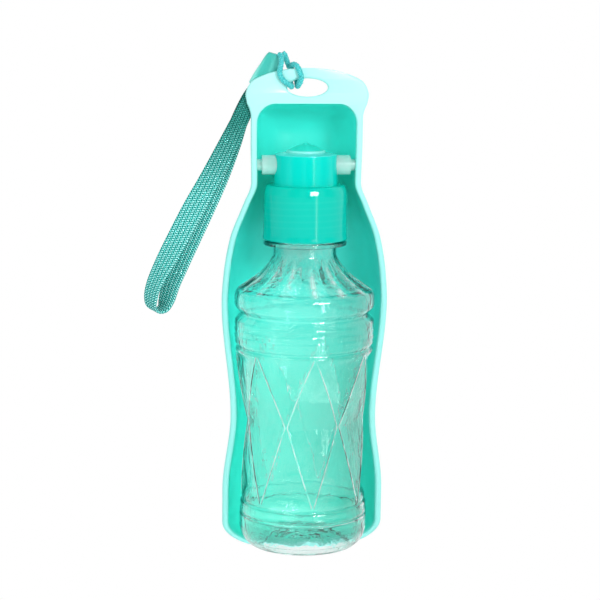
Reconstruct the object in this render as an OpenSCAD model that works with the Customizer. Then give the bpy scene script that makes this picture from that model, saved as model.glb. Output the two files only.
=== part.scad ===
// Travel water bottle for a dog: a clear squeeze bottle that swings in a leaf-shaped drinking trough.
// Millimetres, +Z up. The part stands on the flat end of the trough, with its open side towards -Y.

/* [Bottle] */
// Height of the bottle from its foot to its mouth
bottle_h = 184.8; // [180:0.1:200]
// Wall of the blown bottle
bottle_wall = 0.9; // [0.6:0.1:1.2]
// Radius of the two round bands, the widest part of the bottle
band_r = 36.1; // [34:0.1:37.5]
// Radius of the waist between the facets
waist_r = 30.6; // [28:0.1:33]
// Radius of the round base above the foot
base_r = 33.1; // [31:0.1:35]
// Radius of the ring that the bottle stands on
foot_r = 24.5; // [21:0.1:28]
// Height of the dome pushed up into the base
push_up = 7; // [4:0.5:10]
// Height of the round base, up to the lower points of the facets
base_h = 27; // [24:0.5:30]
// Height of the waist above the foot
waist_h = 68; // [60:0.5:76]
// Height of the upper points of the facets above the foot
facet_top_h = 103.2; // [98:0.1:104]
// Height of the upper edge of the upper band, where the shoulder starts
band_top_h = 134.3; // [132:0.1:136]
// Height where the shoulder meets the neck
shoulder_top_h = 152.5; // [150:0.1:154]
// Depth of the shoulder flutes
flute_depth = 1.9; // [0.5:0.1:2.4]
// Radius of the neck
neck_r = 17.4; // [16.8:0.1:18]
// Radius of the hole in the neck
mouth_r = 15.4; // [14.5:0.1:15.8]
// Radius of the support ring under the cap
support_ring_r = 21.3; // [20:0.1:22]
// Thickness of the support ring
support_ring_t = 3; // [2:0.1:3.4]
// Gap between the support ring and the cap's lower edge
ring_gap = 0.8; // [0.4:0.1:1.6]
// Turn of the facets and flutes from the middle of the front, in degrees
facet_turn = 3; // [-25:1:25]

/* [Screw cap] */
// Outer radius of the cap at its lower edge
cap_r = 21.75; // [21.2:0.05:22.5]
// Draft of the cap, the radius that it loses over its height
cap_draft = 0.65; // [0.2:0.05:1]
// Height of the cap's skirt with its roof
cap_h = 27.9; // [26:0.1:28.2]
// Thickness of the cap's roof
cap_roof = 2.2; // [1.6:0.1:3]
// Gap between the bottle's neck and the cap's bore, which the thread fills
thread_gap = 2; // [1.4:0.1:2.4]
// Thickness of the sealing gasket
gasket_t = 1.6; // [1:0.1:2]
// Radius of the valve housing at its foot
housing_r = 16.2; // [14.5:0.1:17.5]
// Thickness of the housing's roof over the spindle
housing_roof = 0.6; // [0.4:0.05:1.2]
// Radius of the domed outlet insert
dome_r = 9.9; // [8:0.1:12]
// Height of the outlet insert, with its nipple
dome_h = 5.6; // [4.5:0.1:7]
// Depth of the insert's seat in the top of the housing
dome_seat = 0.9; // [0.4:0.1:1.4]
// Radius of the water channel
channel_r = 2.5; // [1.5:0.1:3]

/* [Valve spindle] */
// Diameter of the spindle's barrel
barrel_d = 10; // [8:0.1:10]
// Diameter of the stubs at its ends
stub_d = 5.9; // [4:0.1:7]
// Height of the spindle's axis above the cap's roof
pivot_rise = 10; // [8:0.1:10]
// Gap between the barrel's end and the trough's wall
barrel_end_gap = 2.4; // [1:0.1:4]
// Running clearance of the spindle in the housing, on the radius
run_fit = 0.05; // [0.02:0.01:0.1]
// Depth of the flats that key the stubs in the trough
key_depth = 0.9; // [0.4:0.1:1.4]
// Thickness of the O-rings
seal_t = 1.25; // [0.8:0.05:1.6]
// Distance of the O-rings from the middle of the spindle
seal_x = 9; // [7:0.1:11]
// Swing of the bottle at which the port is in line with the channel
open_angle = 120; // [90:1:120]

/* [Trough] */
// Thickness of the trough's side and back walls
trough_wall = 2; // [1.4:0.1:2.4]
// Thickness of the end wall under the bottle's foot
end_wall = 1.5; // [1:0.1:1.7]
// Gap under the bottle's foot, which it needs to swing out
foot_gap = 2.5; // [2.3:0.1:4]
// How far the rounded rim stands out from the wall
rim_lip = 1.1; // [0.6:0.1:1.6]
// Depth of the rounded rim, which is also the thickness of the head
rim_depth = 3.4; // [2.8:0.1:4]
// Gap beside the bottle's bands
belly_gap = 3.6; // [2.5:0.1:6]
// Gap beside the bottle's waist
waist_gap = 4.2; // [2.5:0.1:7]
// Gap beside the bottle's base
base_gap = 5.8; // [3:0.1:8]
// Gap beside the cap
neck_gap = 3.2; // [2.5:0.1:5]
// Gap behind the bottle's bands
back_gap = 2; // [1:0.1:4]
// Gap behind the cap
neck_back_gap = 6.4; // [4.5:0.1:9]
// Half width of the flat end that the part stands on
pad_half = 13; // [8:0.5:18]
// Height of the rounded lower corners
corner_h = 14.5; // [10:0.5:20]
// Free space above the spindle, where the cap turns
head_space = 31.3; // [31:0.1:36]
// How far the rim's plane leans forward from the lower end to the head
rim_lean = 10; // [6:0.5:12]
// How far the lower end of the rim lies behind the bottle's axis
rim_set = 3; // [1:0.1:5]

/* [Head] */
// Half width of the head
head_half = 31.2; // [30:0.1:33]
// Height of the head above the cavity
head_h = 17.8; // [16:0.1:20]
// Width of the oval hole
hole_w = 20.6; // [17:0.1:24]
// Height of the oval hole
hole_h = 9.1; // [8:0.1:10]
// Distance from the top of the head to the middle of the hole
hole_drop = 9.75; // [9:0.05:11]

/* [Strap] */
// Diameter of the round cord
cord_d = 2.9; // [2.4:0.1:2.9]
// Thickness of the webbing
web_t = 1.5; // [1:0.1:1.5]
// Thickness of the strap's sleeve
sleeve_t = 3.6; // [3:0.1:3.8]

/* [Hidden] */

// Heights of the stack, from the ground up
foot_z = end_wall + foot_gap;
mouth_z = foot_z + bottle_h;
cap_top_z = mouth_z + gasket_t + cap_roof;
cap_bottom_z = cap_top_z - cap_h;
pivot_z = cap_top_z + pivot_rise;
housing_h = pivot_rise + barrel_d / 2 + housing_roof;
cavity_top_z = pivot_z + head_space;
head_top_z = cavity_top_z + head_h;
shell_top_z = cavity_top_z + trough_wall;

// Depths: the bottle's axis stands off the middle so that the whole part is centred on Y = 0
back_reach = band_r + back_gap + trough_wall;
neck_back = cap_r + neck_back_gap + trough_wall;
axis_y = (band_r - back_reach) / 2;

// Height of the support ring's lower face above the foot, under the cap
support_ring_h = bottle_h + gasket_t + cap_roof - cap_h - ring_gap - support_ring_t;

// ---- smooth curves through stations [position, value] ----
function station(k, z, i = 0) = (i >= len(k) - 2 || z < k[i + 1][0]) ? i : station(k, z, i + 1);
function pitch(k, i) = (k[i + 1][1] - k[i][1]) / (k[i + 1][0] - k[i][0]);
// Slope at station i, level at the ends and at every high or low point, so that nothing overshoots
function rise(k, i) =
    (i == 0 || i == len(k) - 1) ? 0 :
    let (a = pitch(k, i - 1), b = pitch(k, i)) a * b <= 0 ? 0 : 2 * a * b / (a + b);
function smooth(k, z) =
    let (i = station(k, z), h = k[i + 1][0] - k[i][0], t = min(1, max(0, (z - k[i][0]) / h)))
    (2 * t^3 - 3 * t^2 + 1) * k[i][1] + (t^3 - 2 * t^2 + t) * h * rise(k, i)
    + (3 * t^2 - 2 * t^3) * k[i + 1][1] + (t^3 - t^2) * h * rise(k, i + 1);
// A quarter of an ellipse: 0 at t = 0 with a steep start, 1 at t = 1
function quarter(t) = sqrt(max(0, 1 - (1 - min(1, max(0, t)))^2));

// ---- a closed solid from rings of equal length, with a flat first and last ring ----
module skin(rings) {
    n = len(rings[0]);
    points = [for (ring = rings) each ring];
    sides = [for (i = [0 : len(rings) - 2], j = [0 : n - 1]) each
        let (a = i * n + j, b = i * n + (j + 1) % n) [[a, b + n, b], [a, a + n, b + n]]];
    first = [for (j = [0 : n - 1]) j];
    last = [for (j = [n - 1 : -1 : 0]) (len(rings) - 1) * n + j];
    polyhedron(points, concat([first], sides, [last]), convexity = 10);
}

// ---- trough ----
rim_w = trough_wall + rim_lip;
heel_z = 32;
heel_half = base_r + base_gap + rim_w;
waist_half = waist_r + waist_gap + rim_w;
belly_half = band_r + belly_gap + rim_w;
throat_half = cap_r + neck_gap + rim_w;
shoulder_half = belly_half - 0.27 * (belly_half - throat_half);
belly_z = foot_z + band_top_h - 6;
// Half width of the rim against height, below the head
rim_stations = [[0, heel_half], [heel_z, heel_half], [foot_z + waist_h, waist_half], [belly_z, belly_half],
                [belly_z + 14, belly_half - 0.9], [cap_bottom_z, shoulder_half],
                [cap_top_z - 10, throat_half + 4], [cap_top_z + 1, throat_half], [pivot_z + 12, throat_half + 0.4],
                [cavity_top_z - 6, throat_half + 0.4], [head_top_z, throat_half + 0.4]];
// Reach of the back behind the bottle's axis against height
back_stations = [[0, back_reach], [foot_z + shoulder_top_h - 14, back_reach],
                 [cap_top_z - 4, neck_back], [head_top_z, neck_back]];
back_corner = 10;
top_corner = 10;
top_round = 18;

function rim_y(z) = rim_set - rim_lean * z / head_top_z;

// Half width and back reach at height z of a form that lies inset by wall from the outside
function form_half(z, low, high, inset) =
    let (w = smooth(rim_stations, z) - inset)
    z < corner_h ? pad_half + (w - pad_half) * quarter((z - low) / (corner_h - low)) :
    z > high - top_corner ? w - top_corner + top_corner * quarter((high - z) / top_corner) : w;
function form_back(z, low, high, inset) =
    let (b = smooth(back_stations, z) - inset)
    z < corner_h ? b - back_corner + back_corner * quarter((z - low) / (corner_h - low)) :
    z > high - top_round ? b - (b - 4) * (1 - quarter((high - z) / top_round)) : b;

// Half width of the rim's outer edge, which widens into the head and ends in its crown
head_stations = [for (p = [[-13, -100], [-6.5, -100], [-3, -2], [0.2, -0.7], [4.4, 0], [7.6, -0.8], [11.2, -3.2],
                           [14, -8.3], [16.1, -14.8], [17.4, -22.2], [17.8, -27.5]])
    [cavity_top_z + p[0] * head_h / 17.8, max(throat_half + 0.4 - (p[0] > 5 ? 100 : 0), head_half + p[1])]];
function edge_half(z) = z < head_stations[0][0] ? form_half(z, 0, shell_top_z, 0) : smooth(head_stations, z);

// One section of the trough: round the outside from right to left, then back along the inside.
// A back of 0 folds the outside against the plate, and an inner back of 0 folds the inside against the front.
arc_steps = 8;
bow_power = 2.8;
function bow(w, y0, y1) = [for (i = [0 : arc_steps])
    let (a = 90 * i / arc_steps) [w * cos(a)^(2 / bow_power), y0 + (y1 - y0) * sin(a)^(2 / bow_power)]];
function both_sides(half) = concat(half, [for (i = [len(half) - 2 : -1 : 0]) [-half[i][0], half[i][1]]]);
function section(z, edge, wall, back, inner, inner_back) =
    let (y0 = rim_y(z), y1 = y0 + rim_depth,
         outside = both_sides(concat([[edge - 1.5, y0], [edge - 0.45, y0 + 0.45], [edge, y0 + 1.5],
             [edge, y1 - 1.2], [edge - 0.9, y1 - 0.1]], bow(wall, y1, back == 0 ? y1 : back))),
         lip = inner_back == 0 ? 0 : 1,
         inside = both_sides(concat([[inner + 1.2, y0], [inner + 0.35, y0 + 0.35 * lip]],
             bow(inner, y0 + 1.2 * lip, inner_back == 0 ? y0 : inner_back))))
    [for (p = concat(outside, [for (i = [len(inside) - 1 : -1 : 0]) inside[i]])) [p[0], p[1], z]];

function shell_section(z, open) =
    let (y1 = rim_y(z) + rim_depth, wall = form_half(z, 0, shell_top_z, 0) - rim_lip,
         back = max(y1 + 2, form_back(z, 0, shell_top_z, 0)))
    open ? section(z, edge_half(z), wall, back, form_half(z, end_wall, cavity_top_z, rim_w),
                   max(y1, form_back(z, end_wall, cavity_top_z, trough_wall)))
         : section(z, edge_half(z), wall, back, z > corner_h ? form_half(cavity_top_z, end_wall, cavity_top_z, rim_w)
                   : z < end_wall / 2 ? pad_half * 0.6 : form_half(end_wall, end_wall, cavity_top_z, rim_w), 0);
function head_section(z) = section(z, edge_half(z), edge_half(z) - 1.3, 0, edge_half(z) * 0.25, 0);

// Heights of the sections: close together in the rounded ends, wider apart between them
function heights(low, high) = concat(
    [for (a = [0 : 15 : 75]) low + (corner_h - low) * (1 - cos(a))],
    [for (i = [0 : 17]) corner_h + (high - top_round - corner_h) * i / 17],
    [for (a = [75 : -15 : 0]) high - top_round * (1 - cos(a))]);
fold = 0.05;

module along_y(y0, y1) {
    translate([0, y1, 0]) rotate([90, 0, 0]) linear_extrude(y1 - y0) children();
}

module oval_hole() {
    along_y(-30, 30) translate([0, head_top_z - hole_drop]) scale([hole_w / hole_h, 1]) circle(d = hole_h, $fn = 72);
}

// A round bar along X with a flat on top at each end: the stubs and the holes that they sit in
module keyed_bar(r, reach, flat_z, inner_reach) {
    difference() {
        rotate([0, 90, 0]) cylinder(r = r, h = 2 * reach, center = true, $fn = 48);
        for (side = [-1, 1]) translate([side * (inner_reach + reach), 0, flat_z + r])
            cube([2 * (reach - inner_reach), 4 * r, 2 * r], center = true);
    }
}

stub_fit = 0.05;
stub_flat_z = stub_d / 2 - key_depth;
barrel_half = cap_r + neck_gap - barrel_end_gap;

module trough() {
    // resize() with zeros changes no size; it makes the sculpted moulding one mesh with its holes
    color([0.45, 0.93, 0.86]) translate([0, axis_y, 0]) resize([0, 0, 0]) difference() {
        skin(concat(
            [for (z = [0, end_wall * 0.3, end_wall - fold]) shell_section(z, false)],
            [for (z = heights(end_wall, cavity_top_z)) shell_section(z, true)],
            [for (z = [cavity_top_z + fold, shell_top_z]) shell_section(z, false)],
            [head_section(shell_top_z + fold)],
            [for (i = [4 : len(head_stations) - 1]) head_section(head_stations[i][0])]));
        oval_hole();
        translate([0, 0, pivot_z])
            keyed_bar(stub_d / 2 + stub_fit, belly_half, stub_flat_z + stub_fit, barrel_half);
    }
}

// ---- valve spindle with its seals ----
seal_seat_r = barrel_d / 2 - seal_t;
seal_x_room = 0.15;

module valve_spindle() {
    color([0.75, 0.96, 0.92, 0.8]) translate([0, axis_y, pivot_z]) difference() {
        union() {
            keyed_bar(stub_d / 2, throat_half - rim_lip - 0.3, stub_flat_z, barrel_half);
            rotate([0, 90, 0]) cylinder(d = barrel_d, h = 2 * barrel_half, center = true, $fn = 64);
        }
        for (side = [-1, 1]) translate([side * seal_x, 0, 0]) rotate([0, 90, 0]) rotate_extrude($fn = 64)
            translate([seal_seat_r, -seal_t / 2 - seal_x_room]) square([barrel_d, seal_t + 2 * seal_x_room]);
        rotate([-open_angle, 0, 0]) cylinder(r = channel_r * 0.8, h = 2 * barrel_d, center = true, $fn = 32);
    }
}

module spindle_seal(side) {
    section_r = seal_t / 2 - 0.02;
    color([0.15, 0.16, 0.17]) translate([side * seal_x, axis_y, pivot_z]) rotate([0, 90, 0])
        rotate_extrude($fn = 64) translate([seal_seat_r + seal_t / 2, 0]) circle(r = section_r, $fn = 24);
}
module spindle_seal_left() { spindle_seal(-1); }
module spindle_seal_right() { spindle_seal(1); }

// ---- screw cap with its valve housing ----
cap_bore_r = neck_r + thread_gap;

module screw_cap() {
    housing_top_r = housing_r - 0.35;
    brow_r = cap_r - cap_draft;
    outline = [
        [cap_bore_r, 0], [cap_r - 0.35, 0], [cap_r, 0.5], [cap_r - 0.05, 1.2], [cap_r - 0.3, 2.6],
        [brow_r + 0.05, cap_h - 4.2], [brow_r - 0.45, cap_h - 0.9], [brow_r - 1.3, cap_h],
        [housing_r + 0.3, cap_h], [housing_r, cap_h + 0.4], [housing_top_r, cap_h + housing_h - 0.8],
        [housing_top_r - 0.25, cap_h + housing_h - 0.2], [housing_top_r - 0.9, cap_h + housing_h],
        [dome_r + 0.1, cap_h + housing_h + dome_seat], [dome_r + 0.1, cap_h + housing_h],
        [channel_r, cap_h + housing_h], [channel_r, cap_h - cap_roof], [cap_bore_r, cap_h - cap_roof]];
    color([0.0, 0.87, 0.79]) translate([0, axis_y, cap_bottom_z]) difference() {
        rotate_extrude($fn = 96) polygon(outline);
        translate([0, 0, cap_h + pivot_rise]) rotate([0, 90, 0])
            cylinder(r = barrel_d / 2 + run_fit, h = 2 * cap_r, center = true, $fn = 64);
    }
}

module outlet_dome() {
    hole_r = 0.7;
    nipple_r = 1.6;
    nipple_h = 0.8;
    shell = 1.2;
    rim_z = dome_seat + 0.1;
    // A shallow cone, a little rounded
    function dome_arc(r, h, steps) = [for (a = steps)
        [r + (nipple_r - r) * a / 90, rim_z + h * (0.7 * a / 90 + 0.3 * sin(a))]];
    outline = concat([[dome_r - shell, 0], [dome_r, 0]], dome_arc(dome_r, dome_h - nipple_h - rim_z, [0 : 15 : 90]),
        [[nipple_r - 0.15, dome_h - 0.2], [nipple_r - 0.45, dome_h], [hole_r, dome_h],
         [hole_r, dome_h - nipple_h - shell]],
        dome_arc(dome_r - shell, dome_h - nipple_h - rim_z - shell, [90 : -15 : 0]));
    color([0.05, 0.78, 0.7]) translate([0, axis_y, cap_top_z + housing_h])
        rotate_extrude($fn = 64) polygon(outline);
}

module cap_gasket() {
    seat = 0.5;
    color([0.92, 0.93, 0.92]) translate([0, axis_y, mouth_z]) rotate_extrude($fn = 64)
        translate([mouth_r - 2.5, 0]) square([cap_bore_r - seat - mouth_r + 2.5, gasket_t]);
}

// ---- bottle ----
panels = 7;
sector = 360 / panels;
facet_bite = 0.62;
facet_low_r = base_r - 0.9;
facet_high_r = band_r - 0.7;

// Six points in each sector: its edge, the two creases, and the lines between them
function spread(crease) = [-sector / 2, -crease, -crease / 2, 0, crease / 2, crease];
round_crease = sector / 3;

// A ring row: [height, radius, kind, crease angle]; kinds are round, facet, flute and push-up
ROUND = 0;
FACET = 1;
FLUTE = 2;
PUSH = 3;
function facet_row(h) =
    let (low = h < waist_h, s = low ? (waist_h - h) / (waist_h - base_h) : (h - waist_h) / (facet_top_h - waist_h))
    [h, waist_r + ((low ? facet_low_r : facet_high_r) - waist_r) * s, FACET, sector / 2 * (0.96 - 0.92 * s)];
function dip(row, a, j) =
    row[2] == FACET ? let (half = abs(a) < row[3] + 0.01 ? row[3] : sector / 2 - row[3],
                           off = abs(a) < row[3] + 0.01 ? abs(a) : sector / 2 - abs(a))
        row[1] * facet_bite * (1 - cos(half) / cos(off)) :
    row[2] == FLUTE ? (j % 3 == 0 ? 0 : row[3]) :
    row[2] == PUSH ? row[1] * (1 - cos(sector / 2) / cos(a)) : 0;
function ring(row, inset, lift) =
    let (crease = row[2] == FACET ? row[3] : round_crease)
    [for (k = [0 : panels - 1], j = [0 : 5])
        let (a = spread(crease)[j], r = row[1] - inset - dip(row, a, j), t = k * sector + a - 90 + facet_turn)
        [r * cos(t), r * sin(t), row[0] + lift]];

facet_heights = concat([for (i = [0 : 4]) base_h + (waist_h - base_h) * i / 5],
                       [for (i = [0 : 5]) waist_h + (facet_top_h - waist_h) * i / 5]);
groove_h = facet_top_h + 19.5;
shoulder_rise = shoulder_top_h - band_top_h;
shoulder_drop = band_r - 16.2;
// Body from the heel to the upper band
body_rows = concat(
    [[2.2, foot_r + 5.4, ROUND], [5.4, base_r - 1.1, ROUND], [9.4, base_r, ROUND], [16.6, base_r, ROUND],
     [17.4, base_r - 0.9, ROUND], [18.3, base_r - 0.2, ROUND], [23.2, base_r - 0.5, ROUND],
     [24.2, base_r - 1.6, ROUND]],
    [for (h = facet_heights) facet_row(h)],
    [[facet_top_h + 1.2, band_r - 0.8, ROUND], [facet_top_h + 2.4, band_r - 1.5, ROUND],
     [facet_top_h + 3.6, band_r - 1, ROUND], [facet_top_h + 5.4, band_r - 0.1, ROUND],
     [groove_h - 4.2, band_r - 0.1, ROUND], [groove_h - 2, band_r - 1.5, ROUND], [groove_h, band_r - 2.8, ROUND],
     [groove_h + 2.2, band_r - 1.3, ROUND], [groove_h + 4.5, band_r, ROUND],
     [band_top_h - 2.4, band_r, ROUND], [band_top_h, band_r - 0.9, ROUND]]);
// Trumpet shoulder: fractions of its height, of its loss of radius and of the flutes' depth
shoulder_rows = [for (s = [[0.04, 0.08, 0.1], [0.12, 0.18, 0.7], [0.2, 0.29, 1], [0.3, 0.42, 1], [0.41, 0.56, 0.95],
                           [0.53, 0.68, 0.8], [0.66, 0.79, 0.6], [0.82, 0.91, 0.3]])
    [band_top_h + shoulder_rise * s[0], band_r - shoulder_drop * s[1], FLUTE, flute_depth * s[2]]];
foot_rows = [[push_up, 8, ROUND], [push_up - 0.8, 17, PUSH], [2, 20.5, PUSH], [0.3, foot_r - 1.6, ROUND],
             [0, foot_r, ROUND], [0.4, foot_r + 2.2, ROUND]];
neck_rows = [[shoulder_top_h, 16.2, ROUND], [support_ring_h - 0.6, neck_r - 0.9, ROUND],
             [support_ring_h, support_ring_r - 0.3, ROUND], [support_ring_h + 0.4, support_ring_r, ROUND],
             [support_ring_h + support_ring_t - 0.4, support_ring_r, ROUND],
             [support_ring_h + support_ring_t, support_ring_r - 0.4, ROUND],
             [support_ring_h + support_ring_t + 0.2, neck_r, ROUND], [bottle_h - 0.5, neck_r, ROUND],
             [bottle_h, neck_r - 0.4, ROUND]];

module bottle() {
    outside = [for (row = concat(foot_rows, body_rows, shoulder_rows, neck_rows)) ring(row, 0, 0)];
    n = len(shoulder_rows);
    inside = concat(
        [ring([bottle_h, mouth_r, ROUND], 0, 0), ring([shoulder_top_h, neck_r - 2.6, ROUND], 0, 0)],
        [for (i = [n - 1 : -1 : 0]) ring(shoulder_rows[i], bottle_wall + 0.2, -0.5)],
        [for (i = [len(body_rows) - 1 : -1 : 1]) ring(body_rows[i], bottle_wall, 0)],
        [ring([2.6, foot_r + 3.4, ROUND], 0, 0), ring([1.3, foot_r, ROUND], 0, 0),
         ring([3.2, 20.2, PUSH], 0, 0), ring([push_up + 0.5, 15.6, PUSH], 0, 0), ring([push_up + 1.2, 7, ROUND], 0, 0)]);
    color([0.85, 0.97, 0.96, 0.45]) translate([0, axis_y, foot_z]) skin(concat(outside, inside));
}

// ---- strap: routes are chosen by hand ----
// Round cord from the sleeve's end twice round the bar above the oval hole and back
cord_route = [
    [-14.2, -5.6, 258.2], [-13.5, -7.4, 257.4], [-13.5, -9.3, 255.0], [-14.1, -10.5, 251.8], [-14.5, -10.7, 249.6],
    [-13.8, -10.7, 247.3], [-12.2, -10.7, 245.3], [-10.4, -10.6, 243.9], [-8.8, -10.0, 243.0], [-8.3, -8.4, 242.5],
    [-8.1, -7.0, 242.4], [-8.0, -5.3, 242.7], [-8.2, -3.9, 244.0], [-8.4, -3.4, 246.5], [-8.3, -3.6, 250.0],
    [-7.8, -5.0, 252.8], [-6.9, -7.3, 253.5], [-5.6, -9.9, 252.6], [-4.3, -10.8, 249.9], [-3.6, -10.9, 247.3],
    [-4.0, -10.7, 245.2], [-4.7, -9.4, 243.5], [-5.0, -7.2, 242.7], [-5.0, -5.0, 243.1], [-5.1, -3.0, 245.4],
    [-6.8, -0.8, 248.8], [-8.8, -1.0, 252.2], [-10.3, -2.0, 255.6], [-11.3, -3.0, 258.0], [-12.4, -3.2, 259.2]];
// Sleeve: point, half width
sleeve_route = [[-23.8, -3.3, 244.2, 5.0], [-21.8, -3.4, 247.2, 5.2], [-19.6, -3.6, 251.0, 4.9],
                [-18.3, -3.8, 254.2, 4.4], [-17.5, -4.0, 257.0, 3.4], [-17.2, -4.2, 258.6, 2.2]];
// Webbing loop: point, half width, twist of the web about its own line
web_route = [
    [-24.2, -4.0, 243.3, 4.0, 0], [-28.6, -3.9, 235.6, 4.0, 0], [-34.0, -4.6, 225.0, 4.5, 0],
    [-40.0, -5.4, 213.0, 5.0, 0], [-49.0, -6.2, 196.0, 5.3, 4], [-57.5, -7.0, 181.0, 5.5, 8],
    [-66.5, -7.6, 164.0, 5.5, 20], [-73.4, -7.8, 151.0, 5.5, 38], [-77.6, -7.6, 142.0, 5.5, 50],
    [-79.2, -6.8, 135.0, 5.5, 56], [-78.8, -5.8, 130.8, 5.5, 68], [-75.8, -5.0, 128.4, 5.5, 90],
    [-72.6, -4.2, 129.8, 5.5, 114], [-70.9, -3.4, 134.0, 5.5, 134], [-68.6, -2.8, 142.0, 5.5, 144],
    [-64.9, -2.2, 151.0, 5.5, 152], [-59.2, -2.0, 164.0, 5.5, 164], [-51.4, -2.0, 181.0, 5.5, 174],
    [-44.6, -2.0, 196.0, 5.3, 178], [-38.0, -1.6, 213.0, 5.0, 180], [-33.8, -1.0, 225.0, 4.5, 180],
    [-29.2, -1.6, 235.6, 4.0, 180], [-24.0, -2.1, 243.1, 4.0, 180]];

function unit(v) = v / norm(v);
function heading(route, i) =
    let (a = route[max(0, i - 1)], b = route[min(len(route) - 1, i + 1)])
    unit([b[0] - a[0], b[1] - a[1], b[2] - a[2]]);
function spot(p) = [p[0], p[1], p[2]];
// Ring of points round a route point, from a vector across the web and one through it
function band_ring(p, across, through, sides) = [for (k = [0 : sides - 1])
    let (a = 360 * (k + 0.5) / sides) p + cos(a) * across + sin(a) * through];

module strap_cord() {
    sides = 8;
    rings = [for (i = [0 : len(cord_route) - 1])
        let (d = heading(cord_route, i), u = unit(cross(d, [1, 0.02, 0])), v = cross(d, u))
        band_ring(cord_route[i], u * cord_d / 2, v * cord_d / 2, sides)];
    color([0.25, 0.86, 0.86]) skin(rings);
}

module strap_sleeve() {
    rings = [for (i = [0 : len(sleeve_route) - 1])
        let (p = sleeve_route[i], d = heading(sleeve_route, i), u = unit(cross(d, [0, 1, 0])), v = cross(d, u))
        band_ring(spot(p), u * p[3], v * sleeve_t / 2, 12)];
    color([0.3, 0.82, 0.74]) skin(rings);
}

module strap_webbing() {
    rings = [for (i = [0 : len(web_route) - 1])
        let (p = web_route[i], d = heading(web_route, i), flat = unit(cross(d, [0, 1, 0])), deep = cross(d, flat),
             across = cos(p[4]) * flat + sin(p[4]) * deep, through = cross(d, across))
        [for (c = [[1, 0.6], [0.9, 1], [-0.9, 1], [-1, 0.6], [-1, -0.6], [-0.9, -1], [0.9, -1], [1, -0.6]])
            spot(p) + c[0] * p[3] * across + c[1] * web_t / 2 * through]];
    color([0.2, 0.66, 0.61]) skin(rings);
}

trough();
valve_spindle();
spindle_seal_left();
spindle_seal_right();
screw_cap();
outlet_dome();
cap_gasket();
bottle();
strap_cord();
strap_sleeve();
strap_webbing();
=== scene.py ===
"""A dog's travel water bottle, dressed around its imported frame."""

import math

import bmesh
import bpy
from mathutils import Matrix, Vector


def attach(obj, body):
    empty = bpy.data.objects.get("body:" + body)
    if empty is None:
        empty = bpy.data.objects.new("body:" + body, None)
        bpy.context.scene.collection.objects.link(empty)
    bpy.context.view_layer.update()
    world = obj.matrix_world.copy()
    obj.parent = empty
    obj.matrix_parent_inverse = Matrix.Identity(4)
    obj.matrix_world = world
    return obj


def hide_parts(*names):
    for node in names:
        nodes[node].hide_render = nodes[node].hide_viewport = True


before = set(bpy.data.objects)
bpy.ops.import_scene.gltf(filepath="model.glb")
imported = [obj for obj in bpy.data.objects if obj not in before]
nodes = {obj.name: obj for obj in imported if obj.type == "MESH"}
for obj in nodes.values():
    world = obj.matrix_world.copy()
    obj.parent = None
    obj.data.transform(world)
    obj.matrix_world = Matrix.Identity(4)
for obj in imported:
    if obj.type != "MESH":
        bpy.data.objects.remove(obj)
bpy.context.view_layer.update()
MM = 0.001

# ---- View -----------------------------------------------------------------
# A long lens a little to the left of the trough's open side and slightly above it,
# tipped by half a degree. The bottle stands upright in its trough.
lens = bpy.data.cameras.new("studio_camera")
lens.sensor_width = 36
lens.lens = 109.53
camera = bpy.data.objects.new("studio_camera", lens)
bpy.context.scene.collection.objects.link(camera)
eye = Vector((-0.0993, -0.9249, 0.2856))
look_at = Vector((-0.002334, -0.002, 0.13285))
aim = (look_at - eye).to_track_quat("-Z", "Y").to_matrix().to_4x4()
camera.matrix_world = Matrix.Translation(eye) @ aim @ Matrix.Rotation(math.radians(0.5034), 4, "Z")
bpy.context.scene.camera = camera

# ---- Strap cord -----------------------------------------------------------
# Three strands of polyester laid into a 2.9 mm cord. It leaves the sleeve, goes twice
# round the bar above the oval hole and returns into the sleeve.
cord_route = [
    (-14.2, -5.6, 258.2), (-13.5, -7.4, 257.4), (-13.5, -9.3, 255.0), (-14.1, -10.5, 251.8),
    (-14.5, -10.7, 249.6), (-13.8, -10.7, 247.3), (-12.2, -10.7, 245.3), (-10.4, -10.6, 243.9),
    (-8.8, -10.0, 243.0), (-8.3, -8.4, 242.5), (-8.1, -7.0, 242.4), (-8.0, -5.3, 242.7),
    (-8.2, -3.9, 244.0), (-8.4, -3.4, 246.5), (-8.3, -3.6, 250.0), (-7.8, -5.0, 252.8),
    (-6.9, -7.3, 253.5), (-5.6, -9.9, 252.6), (-4.3, -10.8, 249.9), (-3.6, -10.9, 247.3),
    (-4.0, -10.7, 245.2), (-4.7, -9.4, 243.5), (-5.0, -7.2, 242.7), (-5.0, -5.0, 243.1),
    (-5.1, -3.0, 245.4), (-6.8, -0.8, 248.8), (-8.8, -1.0, 252.2), (-10.3, -2.0, 255.6),
    (-11.3, -3.0, 258.0), (-12.4, -3.2, 259.2)]


def flowing(route, steps):
    """The route's rows with rows filled in between them on a smooth curve, and lengths in metres."""
    rows = []
    for i in range(len(route) - 1):
        a, b, c, d = (route[min(max(k, 0), len(route) - 1)] for k in (i - 1, i, i + 1, i + 2))
        for s in range(steps):
            t = s / steps
            rows.append([0.5 * (2 * q + (r - p) * t + (2 * p - 5 * q + 4 * r - w) * t ** 2
                                + (3 * q - p - 3 * r + w) * t ** 3) for p, q, r, w in zip(a, b, c, d)])
    rows.append(list(route[-1]))
    return [[v * MM for v in row] for row in rows]


def face_outwards(mesh):
    mesh.validate()
    shape = bmesh.new()
    shape.from_mesh(mesh)
    bmesh.ops.recalc_face_normals(shape, faces=shape.faces)
    shape.to_mesh(mesh)
    shape.free()


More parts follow.
